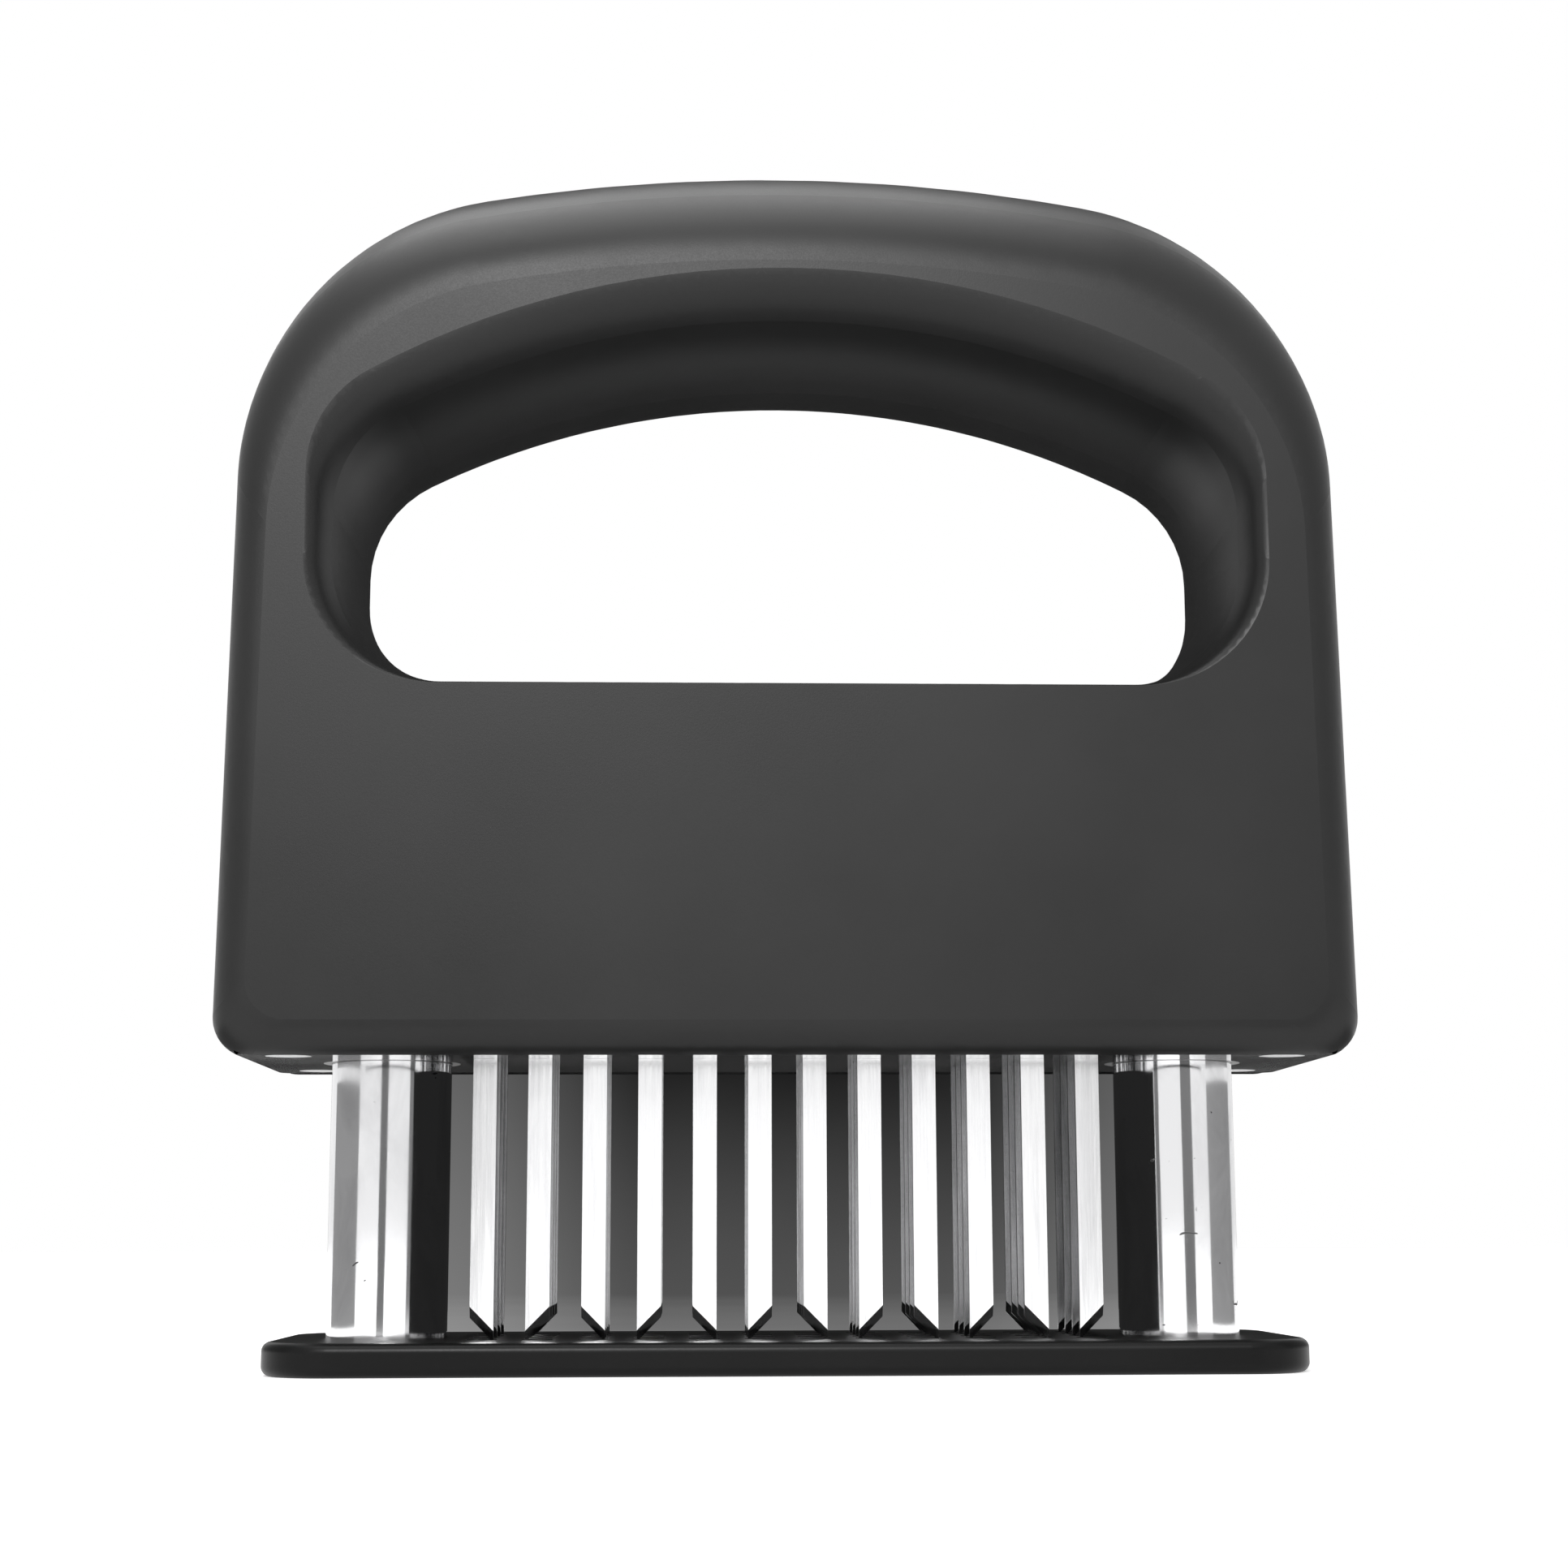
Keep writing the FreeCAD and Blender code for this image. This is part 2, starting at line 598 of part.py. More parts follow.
# Housing outline at one depth, as arcs and lines
def tangent_corner(crown_centre, crown, corner, half_width):
    """Centre of a corner arc that touches the crown arc from inside and the line at half_width."""
    across = half_width - corner
    return FreeCAD.Vector(across, 0, crown_centre + math.sqrt((crown - corner) ** 2 - across ** 2))


def mirrored(point):
    return FreeCAD.Vector(-point.x, point.y, point.z)


def arc(start, middle, end):
    return Part.Arc(start, middle, end).toShape()


def line(start, end):
    return Part.LineSegment(start, end).toShape()


def at_angle(centre, radius, angle):
    return centre + FreeCAD.Vector(radius * math.cos(angle), 0, radius * math.sin(angle))


def closed_outline(depth, half_base, half_shoulder, bottom, top, crown, corner, foot):
    """Crown arc, two corner arcs, two sides, two foot arcs and a straight bottom, at one depth."""
    crown_centre = FreeCAD.Vector(0, 0, top - crown)
    right = tangent_corner(crown_centre.z, crown, corner, half_shoulder)
    foot_centre = FreeCAD.Vector(half_base - foot, 0, bottom + foot)
    across, up = right.x - foot_centre.x, right.z - foot_centre.z
    lean = math.atan2(up, across) - math.acos((foot - corner) / math.hypot(across, up))
    joint_angle = math.atan2(right.z - crown_centre.z, right.x)
    joint = at_angle(crown_centre, crown, joint_angle)
    shoulder = at_angle(right, corner, lean)
    shoulder_middle = at_angle(right, corner, (joint_angle + lean) / 2)
    foot_start = at_angle(foot_centre, foot, lean)
    foot_middle = at_angle(foot_centre, foot, (lean - math.pi / 2) / 2)
    foot_end = at_angle(foot_centre, foot, -math.pi / 2)
    apex = FreeCAD.Vector(0, 0, top)
    edges = [
        arc(mirrored(joint), apex, joint),
        arc(joint, shoulder_middle, shoulder),
        line(shoulder, foot_start),
        arc(foot_start, foot_middle, foot_end),
        line(foot_end, mirrored(foot_end)),
        arc(mirrored(foot_end), mirrored(foot_middle), mirrored(foot_start)),
        line(mirrored(foot_start), mirrored(shoulder)),
        arc(mirrored(shoulder), mirrored(shoulder_middle), mirrored(joint)),
    ]
    outline = Part.Wire(edges)
    outline.translate(FreeCAD.Vector(0, depth, 0))
    return outline


def circle_fall(depth, reach, radius):
    """How far a quarter-round edge of this radius has fallen in at a depth."""
    past = max(0.0, depth - (reach - radius))
    return radius - math.sqrt(max(0.0, radius ** 2 - past ** 2))


def ellipse_fall(depth, reach, rise):
    return rise * (1 - math.sqrt(max(0.0, 1 - (depth / reach) ** 2)))


def inner_rounding(inset):
    """Radius of the edge rounding of a form inside the housing, smaller by half of the inset."""
    return size("edge_rounding") - inset / 2


def housing_outline(depth, inset):
    reach = size("housing_depth") / 2 - inset
    side = circle_fall(depth, reach, inner_rounding(inset))
    top = ellipse_fall(depth, reach, size("crown_rounding") - inset)
    return dict(
        half_base=value(named(BASE_HALF)) - inset - side,
        half_shoulder=value(named(SHOULDER_HALF)) - inset - side,
        bottom=size("housing_bottom") + side,
        top=size("housing_top") - inset - top,
        crown=size("crown_radius") - inset - top,
        corner=size("shoulder_radius") - inset - size("shoulder_fall_share") * top,
        foot=size("foot_corner_radius"),
    )


def hole_outline(depth, inset):
    reach = size("housing_depth") / 2 - inset
    side = ellipse_fall(depth, reach, size("hole_scoop_side") - inset / 2)
    top = ellipse_fall(depth, reach, size("hole_scoop_top") - inset)
    low = ellipse_fall(depth, reach, size("hole_scoop_bottom"))
    half_width = value(named(HOLE_HALF)) + inset + side
    return dict(
        half_base=half_width,
        half_shoulder=half_width,
        bottom=size("hole_bottom") - inset - low,
        top=value(named(HOLE_TOP)) + inset + top,
        crown=size("hole_crown_radius") + inset,
        corner=size("hole_upper_radius") + inset,
        foot=size("hole_lower_radius") + inset,
    )


SECTION_STEPS = 4


def section_depths(inset):
    """Depths of the outlines: evenly to where the edge rounding starts, then round that edge."""
    rounding = inner_rounding(inset)
    flat = size("housing_depth") / 2 - inset - rounding
    shares = [step / SECTION_STEPS for step in range(SECTION_STEPS + 1)]
    inner = [-flat * share for share in shares[:0:-1]] + [flat * share for share in shares]
    outer = [flat + rounding * math.sin(math.pi / 2 * share) for share in shares]
    return inner, outer


def lofted(name, outline, inset, sign, runs_out=False):
    """A form given by its outline at each depth, whole as far as its flat sides and rounded on one side."""
    solids = []
    for depths in section_depths(inset):
        wires = [closed_outline(sign * depth, **outline(abs(depth), inset)) for depth in depths]
        solids.append(Part.makeLoft(wires, True, False))
    if runs_out:
        last = size("housing_depth") / 2 - inset
        ends = (last, last + size("overrun"))
        wires = [closed_outline(sign * depth, **outline(last, inset)) for depth in ends]
        solids.append(Part.makeLoft(wires, True, True))
    whole = solids[0].multiFuse(solids[1:])
    feature = doc.addObject("Part::Feature", name)
    feature.Shape = whole.Solids[0]
    return feature


def cylinder(name, radius, height, x, y, z, along_y=0):
    """A cylinder that stands up, or lies along Y towards the rear with along_y 1."""
    piece = doc.addObject("Part::Cylinder", name)
    if along_y:
        piece.Placement.Rotation = FreeCAD.Rotation(FreeCAD.Vector(1, 0, 0), -90)
    bind(piece, Radius=radius, Height=height)
    bind(piece, Placement__Base__x=x, Placement__Base__y=y, Placement__Base__z=z)
    return piece


def joined(name, pieces):
    fuse = doc.addObject("Part::MultiFuse", name)
    fuse.Shapes = pieces
    return fuse


def less(name, base, tool):
    cut = doc.addObject("Part::Cut", name)
    cut.Base = base
    cut.Tool = tool
    return cut


# Places of the screws that hold the shells together, with what each boss starts from at mid-depth
SHELL_SCREWS = [
    (f"{side} * {across}", up, start) for side in SIDES.values()
    for (across, up), start in ((WEB_SCREW, "(web_thickness / 2 + boss_side_gap)"), (GRIP_SCREW, "0"))
]


# Shells: front and rear halves of the housing, hollow, with bosses for the screws and sockets for the posts
def make_shell(name, sign):
    outer = lofted(f"{name}_outer", housing_outline, 0, sign)
    hole = lofted(f"{name}_hole", hole_outline, 0, sign, runs_out=True)
    room = lofted(f"{name}_room", housing_outline, size("wall"), sign)
    island = lofted(f"{name}_island", hole_outline, size("wall"), sign, runs_out=True)
    mouth = doc.addObject("Part::Box", f"{name}_mouth")
    half_mouth = f"({BASE_HALF} - wall)"
    mouth_depth = f"({HALF_DEPTH} - wall)"
    bind(mouth, Length=f"2 * {half_mouth}", Width=mouth_depth,
         Height=f"{FRAME_ROOF} - housing_bottom + overrun")
    bind(mouth, Placement__Base__x=f"-{half_mouth}",
         Placement__Base__y="0" if sign > 0 else f"-{mouth_depth}",
         Placement__Base__z="housing_bottom - overrun")
    cavity = less(f"{name}_cavity", joined(f"{name}_room_and_mouth", [room, mouth]), island)
    hollow = less(f"{name}_hollow", outer, cavity)

    reach = f"({HALF_DEPTH} - wall / 2)"
    bosses = []
    ways = [hole]
    for index, (x, z, start) in enumerate(SHELL_SCREWS):
        boss_y = start if sign > 0 else f"-{reach}"
        bosses.append(cylinder(f"{name}_boss_{index}", "boss_radius", f"{reach} - {start}", x, boss_y, z, 1))
        ways.append(cylinder(f"{name}_way_{index}", "shell_screw_radius + fixed_clearance",
                             f"shell_screw_reach + overrun + {SCREW_SEAT}", x,
                             "-shell_screw_reach - overrun", z, 1))
        if sign > 0:
            ways.append(cylinder(f"{name}_recess_{index}", "shell_recess_radius",
                                 "shell_recess_depth + overrun", x, SCREW_SEAT, z, 1))
    for side_name, side in SIDES.items():
        x = f"{side} * {COLUMN_X}"
        bosses.append(cylinder(f"{name}_{side_name}_ceiling_boss", "post_stud_radius + socket_wall",
                               "socket_boss_height", x, "0", CAVITY_CEILING))
        ways.append(cylinder(f"{name}_{side_name}_socket", "post_stud_radius + fixed_clearance",
                             "post_stud_length + fixed_clearance", x, "0", CAVITY_CEILING))
    other_half = doc.addObject("Part::Box", f"{name}_other_half")
    half_box = f"({BASE_HALF} + overrun)"
    bind(other_half, Length=f"2 * {half_box}", Width="housing_depth", Height="housing_top + overrun")
    bind(other_half, Placement__Base__x=f"-{half_box}",
         Placement__Base__y="-housing_depth" if sign > 0 else "0")
    ways.append(other_half)
    inside = doc.addObject("Part::MultiCommon", f"{name}_bosses_inside")
    inside.Shapes = [joined(f"{name}_bosses", bosses), outer]
    with_bosses = joined(f"{name}_with_bosses", [hollow, inside])
    keep(less(name, with_bosses, joined(f"{name}_ways", ways)), name)


def solid_group(name, pieces):
    group = doc.addObject("Part::Compound", name)
    group.Links = pieces
    return keep(group, name)


# Countersunk screws up through the base cover, and pan-head screws forward through the rear shell
def make_screws():
    cover = []
    start = f"{UNDERSIDE} + fixed_clearance"
    head_radius = "(cover_screw_head_radius - 2 * fixed_clearance)"
    for side in SIDES.values():
        for row in SIDES.values():
            x, y = f"{side} * {COVER_SCREW_X}", f"{row} * {COVER_SCREW_Y}"
            shank = cylinder("cover_screw_shank", "cover_screw_radius",
                             "cover_screw_length - fixed_clearance", x, y, start)
            head = doc.addObject("Part::Cone", "cover_screw_head")
            bind(head, Radius1=head_radius, Radius2="cover_screw_radius",
                 Height=f"{head_radius} - cover_screw_radius")
            bind(head, Placement__Base__x=x, Placement__Base__y=y, Placement__Base__z=start)
            cover.append(joined("cover_screw", [shank, head]))
    solid_group("base_cover_screws", cover)
    shell = []
    for x, z, _ in SHELL_SCREWS:
        head = cylinder("shell_screw_head", "shell_head_radius", "shell_head_height", x, SCREW_SEAT, z, 1)
        shank = cylinder("shell_screw_shank", "shell_screw_radius", f"{SCREW_SEAT} + shell_screw_reach",
                         x, "-shell_screw_reach", z, 1)
        shell.append(joined("shell_screw", [head, shank]))
    solid_group("shell_screws", shell)


make_guard_plate()
for rank, row_centre in enumerate(ROW_CENTRES, start=1):
    make_blade_row(rank, row_centre)
    make_blade_cartridge(rank, row_centre)
make_retaining_rods()
make_blade_frame()
make_base_cover()
for column_side, column_sign in SIDES.items():
    make_column_pieces(column_side, column_sign)
    make_spring(column_side, column_sign)
make_shell("front_shell", -1)
make_shell("rear_shell", 1)
make_screws()
doc.recompute()

# Every object has to be sound before any file is written
for item in doc.Objects:
    if "Invalid" in item.State or "Error" in item.State:
        raise ValueError(f"{item.Label} failed: {item.State}")
for part in parts:
    if part.Shape.isNull() or not part.Shape.isValid():
        raise ValueError(f"{part.Label} has no valid shape")

os.makedirs("parts", exist_ok=True)
for part in parts:
    part.Shape.exportStep(f"parts/{part.Label}.step")
    box = part.Shape.BoundBox
    print(f"{part.Label}: {len(part.Shape.Solids)} solids, {part.Shape.Volume:.0f} mm3, "
          f"x {box.XMin:.1f} to {box.XMax:.1f}, y {box.YMin:.1f} to {box.YMax:.1f}, "
          f"z {box.ZMin:.1f} to {box.ZMax:.1f}")
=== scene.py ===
"""Blade meat tenderizer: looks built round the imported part, in metres, with the front face towards -Y."""

import json
import math

import bpy
from mathutils import Matrix, Vector


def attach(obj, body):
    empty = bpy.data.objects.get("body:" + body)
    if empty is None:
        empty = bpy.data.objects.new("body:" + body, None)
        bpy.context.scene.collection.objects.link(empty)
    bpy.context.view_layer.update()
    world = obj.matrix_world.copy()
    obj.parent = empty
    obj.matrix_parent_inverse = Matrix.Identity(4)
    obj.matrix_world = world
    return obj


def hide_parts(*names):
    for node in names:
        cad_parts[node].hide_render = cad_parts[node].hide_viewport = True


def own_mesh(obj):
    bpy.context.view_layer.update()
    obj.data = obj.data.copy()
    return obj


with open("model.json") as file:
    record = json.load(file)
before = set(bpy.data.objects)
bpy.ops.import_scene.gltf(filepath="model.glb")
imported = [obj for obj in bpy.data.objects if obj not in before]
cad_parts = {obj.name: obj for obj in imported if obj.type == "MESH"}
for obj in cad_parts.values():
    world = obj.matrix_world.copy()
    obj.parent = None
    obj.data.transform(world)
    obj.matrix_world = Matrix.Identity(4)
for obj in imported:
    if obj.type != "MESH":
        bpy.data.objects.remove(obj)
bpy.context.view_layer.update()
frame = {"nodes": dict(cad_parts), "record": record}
NODES = frame["nodes"]
MM = 0.001
UP = Vector((0.0, 0.0, 1.0))


# Node graph helpers
NOISE_LOW = 0.3
NOISE_HIGH = 0.7


def seen_rays(tree):
    """1 for camera, glossy and transmission rays, 0 for the rest."""
    path = tree.nodes.new("ShaderNodeLightPath")
    total = path.outputs["Is Camera Ray"]
    for name in ("Is Glossy Ray", "Is Transmission Ray"):
        added = tree.nodes.new("ShaderNodeMath")
        added.operation = "MAXIMUM"
        tree.links.new(total, added.inputs[0])
        tree.links.new(path.outputs[name], added.inputs[1])
        total = added.outputs["Value"]
    return total


def grey(level):
    return (level, level, level)


class Shader:
    """A material and short ways to add and link its nodes."""

    def __init__(self, name):
        self.material = bpy.data.materials.new(name)
        self.material.use_nodes = True
        self.tree = self.material.node_tree
        self.tree.nodes.clear()
        self.output = self.tree.nodes.new("ShaderNodeOutputMaterial")

    def node(self, kind, **settings):
        made = self.tree.nodes.new(f"ShaderNode{kind}")
        for name, setting in settings.items():
            setattr(made, name, setting)
        return made

    def feed(self, source, target):
        """Link a socket, or set a plain colour or number."""
        if isinstance(source, tuple):
            target.default_value = (*source, 1.0)
        elif isinstance(source, (int, float)):
            target.default_value = source
        else:
            self.tree.links.new(source, target)

    def place(self):
        """The piece's own coordinates in metres, which turn with it."""
        return self.node("TexCoord").outputs["Object"]

    def stretched(self, coordinates, scale):
        mapping = self.node("Mapping")
        self.feed(coordinates, mapping.inputs["Vector"])
        mapping.inputs["Scale"].default_value = scale
        return mapping.outputs["Vector"]

    def noise(self, coordinates, detail, scale=1.0, roughness=0.5, distortion=0.0):
        made = self.node("TexNoise")
        self.feed(coordinates, made.inputs["Vector"])
        made.inputs["Scale"].default_value = scale
        made.inputs["Detail"].default_value = detail
        made.inputs["Roughness"].default_value = roughness
        made.inputs["Distortion"].default_value = distortion
        return made.outputs["Fac"]

    def ranged(self, source, low, high, out_low=0.0, out_high=1.0, smooth=False):
        made = self.node("MapRange", interpolation_type="SMOOTHSTEP" if smooth else "LINEAR")
        self.feed(source, made.inputs["Value"])
        limits = {"From Min": low, "From Max": high, "To Min": out_low, "To Max": out_high}
        for socket, number in limits.items():
            made.inputs[socket].default_value = number
        return made.outputs["Result"]

    def spread(self, noise, out_low=0.0, out_high=1.0):
        """Noise brought from its usual middle range to the one given."""
        return self.ranged(noise, NOISE_LOW, NOISE_HIGH, out_low, out_high)

    def maths(self, operation, *terms):
        made = self.node("Math", operation=operation)
        for term, target in zip(terms, made.inputs):
            self.feed(term, target)
        return made.outputs["Value"]

    def mixed(self, share, first, second):
        """Colour between two colours by a share from 0 to 1."""
        made = self.node("Mix", data_type="RGBA")
        self.feed(share, made.inputs["Factor"])
        for name, colour in (("A", first), ("B", second)):
            target = next(socket for socket in made.inputs if socket.name == name and socket.type == "RGBA")
            self.feed(colour, target)
        return next(socket for socket in made.outputs if socket.type == "RGBA")

    def bump(self, height, distance, strength):
        made = self.node("Bump")
        self.feed(height, made.inputs["Height"])
        made.inputs["Distance"].default_value = distance
        made.inputs["Strength"].default_value = strength
        return made.outputs["Normal"]

    def surface(self, colour, roughness, normal, **constants):
        """The principled shader at the end of the graph."""
        made = self.node("BsdfPrincipled")
        self.feed(colour, made.inputs["Base Color"])
        self.feed(roughness, made.inputs["Roughness"])
        self.feed(normal, made.inputs["Normal"])
        for name, number in constants.items():
            made.inputs[name].default_value = number
        self.feed(made.outputs["BSDF"], self.output.inputs["Surface"])
        return self.material

    def glow(self, strength):
        """White light of its own, as a shader."""
        made = self.node("Emission")
        self.feed(strength, made.inputs["Strength"])
        return made.outputs["Emission"]

    def add_glow(self, strength):
        """Light added to the surface where a camera, glossy or transmission ray meets it."""
        total = self.node("AddShader")
        self.feed(self.output.inputs["Surface"].links[0].from_socket, total.inputs[0])
        self.feed(self.glow(self.maths("MULTIPLY", seen_rays(self.tree), strength)), total.inputs[1])
        self.feed(total.outputs["Shader"], self.output.inputs["Surface"])


# Plastics of the part
CLOUD_SCALE = 35.0
CLOUD_ROUGHNESS = 0.03
GRAIN_SCALE = 5200.0
GRAIN_ROUGHNESS = 0.02
GRAIN_DEPTH = 0.02 * MM
DUST_SCALE = 95.0
DUST_CORE = 0.012
DUST_EDGE = 0.03
DUST_GREY = 0.32


def dusted(m, place, colour, specks):
    """A few grains of pale dust: round spots in a small share of the cells of a cell pattern."""
    cells = m.node("TexVoronoi", feature="F1")
    m.feed(place, cells.inputs["Vector"])
    cells.inputs["Scale"].default_value = DUST_SCALE
    spot = m.ranged(cells.outputs["Distance"], DUST_CORE, DUST_EDGE, 1.0, 0.0)
    chosen = m.node("SeparateColor")
    m.feed(cells.outputs["Color"], chosen.inputs["Color"])
    rare = m.maths("GREATER_THAN", chosen.outputs["Red"], 1.0 - specks)
    return m.mixed(m.maths("MULTIPLY", spot, rare), colour, grey(DUST_GREY))


def moulded_plastic(name, tones, roughness, grain, specks=0.0, index=1.5):
    """Moulding with a fine grain, faint cloudiness and, with specks, a few grains of pale dust."""
    dark, light = tones
    m = Shader(name)
    place = m.place()
    clouds = m.noise(place, scale=CLOUD_SCALE, detail=4.0)
    fine = m.noise(place, scale=GRAIN_SCALE, detail=2.0)
    colour = m.mixed(m.spread(clouds), grey(dark), grey(light))
    cloudy = m.spread(clouds, roughness - CLOUD_ROUGHNESS, roughness + CLOUD_ROUGHNESS)
    rough = m.maths("ADD", cloudy, m.spread(fine, -GRAIN_ROUGHNESS, GRAIN_ROUGHNESS))
    if specks:
        colour = dusted(m, place, colour, specks)
    return m.surface(colour, rough, m.bump(fine, GRAIN_DEPTH, grain), IOR=index)


def housing_plastic(name):
    """Satin black with a little dust."""
    return moulded_plastic(name, tones=(0.009, 0.013), roughness=0.4, grain=0.25, specks=0.06, index=1.34)


def cover_plastic(name):
    """Gloss black."""
    return moulded_plastic(name, tones=(0.006, 0.009), roughness=0.12, grain=0.1)


def guard_plastic(name):
    """Satin black, darker than the housing and with more dust."""
    return moulded_plastic(name, tones=(0.003, 0.005), roughness=0.36, grain=0.3, specks=0.12, index=1.25)


def inner_plastic(name):
    """Plain dark grey, for what the housing hides."""
    return moulded_plastic(name, tones=(0.05, 0.065), roughness=0.5, grain=0.3)


def bush_plastic(name):
    """Smooth near black, for the bushes that the columns run in."""
    return moulded_plastic(name, tones=(0.02, 0.026), roughness=0.3, grain=0.2)


# Metals of the part
def blade_steel(name):
    """Ground strip: fine streaks up its length, and softer smears."""
    streak_scale = (2600.0, 2600.0, 70.0)
    smear_scale = (700.0, 700.0, 90.0)
    streak_share = 0.45
    streak_depth = 0.01 * MM
    bright = (0.88, 0.88, 0.885)
    dull = (0.68, 0.68, 0.69)
    dull_start = 0.38
    dull_full = 0.66
    bright_roughness = 0.15
    dull_roughness = 0.27
    m = Shader(name)
    place = m.place()
    streaks = m.noise(m.stretched(place, streak_scale), detail=4.0, roughness=0.6)
    smears = m.noise(m.stretched(place, smear_scale), detail=3.0, distortion=0.4)
    streak_part = m.maths("MULTIPLY", streaks, streak_share)
    smear_part = m.maths("MULTIPLY", smears, 1 - streak_share)
    share = m.ranged(m.maths("ADD", streak_part, smear_part), dull_start, dull_full)
    rough = m.ranged(share, 0.0, 1.0, bright_roughness, dull_roughness)
    return m.surface(m.mixed(share, bright, dull), rough, m.bump(streaks, streak_depth, 0.35), Metallic=1.0)


def column_steel(name):
    """Polished tube: nearly a mirror, with faint draw lines, dull smears and a few dark nicks."""
    line_scale = (1500.0, 1500.0, 30.0)
    smear_scale = (160.0, 160.0, 60.0)
    nick_scale = (420.0, 420.0, 900.0)
    line_depth = 0.012 * MM
    bright = (0.83, 0.83, 0.84)
    smeared = (0.64, 0.64, 0.65)
    nicked = grey(0.08)
    smear_start = 0.42
    smear_full = 0.7
    nick_start = 0.735
    nick_full = 0.76
    bright_roughness = 0.07
    smeared_roughness = 0.16
    nick_roughness = 0.4
    m = Shader(name)
    place = m.place()
    lines = m.noise(m.stretched(place, line_scale), detail=4.0, roughness=0.6)
    smears = m.noise(m.stretched(place, smear_scale), detail=4.0, roughness=0.6, distortion=0.6)
    nicks = m.noise(m.stretched(place, nick_scale), detail=2.0, distortion=1.2)
    dull = m.ranged(smears, smear_start, smear_full)
    nick = m.ranged(nicks, nick_start, nick_full)
    colour = m.mixed(nick, m.mixed(dull, bright, smeared), nicked)
    smooth = m.ranged(dull, 0.0, 1.0, bright_roughness, smeared_roughness)
    rough = m.maths("ADD", smooth, m.maths("MULTIPLY", nick, nick_roughness))
    return m.surface(colour, rough, m.bump(lines, line_depth, 0.3), Metallic=1.0)


def mottled_steel(name, shade, roughness):
    """Steel with a fine mottle in its tone, roughness and relief."""
    mottle_scale = 900.0
    mottle_depth = 0.01 * MM
    mottle_roughness = 0.12
    dark_start = 0.35
    dark_full = 0.65
    dark_share = 0.8
    m = Shader(name)
    mottle = m.noise(m.place(), scale=mottle_scale, detail=4.0, roughness=0.6)
    light = (shade, shade, shade * 1.01)
    colour = m.mixed(m.ranged(mottle, dark_start, dark_full), light, grey(shade * dark_share))
    rough = m.spread(mottle, roughness, roughness + mottle_roughness)
    return m.surface(colour, rough, m.bump(mottle, mottle_depth, 0.4), Metallic=1.0)


def plated_steel(name):
    """Bright plating, for screws, rods, plugs and collars."""
    return mottled_steel(name, shade=0.6, roughness=0.25)


def spring_steel(name):
    """Drawn wire."""
    return mottled_steel(name, shade=0.5, roughness=0.2)


MAKERS = [housing_plastic, cover_plastic, guard_plastic, inner_plastic, bush_plastic]
MAKERS += [blade_steel, column_steel, plated_steel, spring_steel]
MATERIALS = {maker.__name__: maker(maker.__name__) for maker in MAKERS}


def finish_with(piece, slot):
    piece.data.materials.clear()
    piece.data.materials.append(MATERIALS[slot])


for entry in frame["record"]["subparts"]:
    finish_with(NODES[entry["node"]], entry["material_slot"])


def add_mesh(name, vertices, faces):
    mesh = bpy.data.meshes.new(name)
    mesh.from_pydata(vertices, [], faces)
    made = bpy.data.objects.new(name, mesh)
    bpy.context.scene.collection.objects.link(made)
    return made


# Return springs: fine coils in place of the CAD ones
SPRING_TURNS = 14
CLOSED_TURNS = 1.0
WIRE_RADIUS = 0.45 * MM
STEPS_PER_TURN = 40
WIRE_SIDES = 12


def node_box(node):
    """Lowest and highest corner of a CAD node."""
    corners = [NODES[node].matrix_world @ Vector(corner) for corner in NODES[node].bound_box]
    return [Vector(limit(corner[axis] for corner in corners) for axis in range(3)) for limit in (min, max)]


def wire_height(turn, first, last):
    """Height of the wire's centre after some turns from the foot: the end turns lie closed."""
    pitch_closed = 2 * WIRE_RADIUS
    open_turns = SPRING_TURNS - 2 * CLOSED_TURNS
    open_height = last - first - 2 * CLOSED_TURNS * pitch_closed
    closed = min(turn, CLOSED_TURNS) + max(turn - CLOSED_TURNS - open_turns, 0.0)
    opened = min(max(turn - CLOSED_TURNS, 0.0), open_turns)
    return first + closed * pitch_closed + opened / open_turns * open_height


def wire_ring(middle, outward):
    """Points round the wire where its centre is at middle."""
    ring = []
    for side in range(WIRE_SIDES):
        angle = 2 * math.pi * side / WIRE_SIDES
        ring.append(tuple(middle + WIRE_RADIUS * (math.cos(angle) * outward + math.sin(angle) * UP)))
    return ring


def wire_faces(steps):
    """Sides of the wire between one ring and the next, and its two cut ends."""
    faces = []
    for start in range(0, steps * WIRE_SIDES, WIRE_SIDES):
        for side in range(WIRE_SIDES):
            here = start + side
            after = start + (side + 1) % WIRE_SIDES
            faces.append((here, after, after + WIRE_SIDES, here + WIRE_SIDES))
    faces.append(tuple(reversed(range(WIRE_SIDES))))
    faces.append(tuple(range(steps * WIRE_SIDES, (steps + 1) * WIRE_SIDES)))
    return faces


def add_spring(node):
    low, high = node_box(node)
    axis_x = (high.x + low.x) / 2
    mean_radius = (high.x - low.x) / 2 - WIRE_RADIUS
    steps = SPRING_TURNS * STEPS_PER_TURN
    points = []
    for step in range(steps + 1):
        turn = step / STEPS_PER_TURN
        outward = Vector((math.cos(2 * math.pi * turn), math.sin(2 * math.pi * turn), 0.0))
        height = wire_height(turn, low.z + WIRE_RADIUS, high.z - WIRE_RADIUS)
        points += wire_ring(Vector((axis_x, 0.0, height)) + mean_radius * outward, outward)
    spring = add_mesh(f"{node}_wound", points, wire_faces(steps))
    spring.data.shade_smooth()
    finish_with(spring, "spring_steel")
    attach(spring, "handle")
    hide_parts(node)
    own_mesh(spring)


add_spring("left_spring")
add_spring("right_spring")


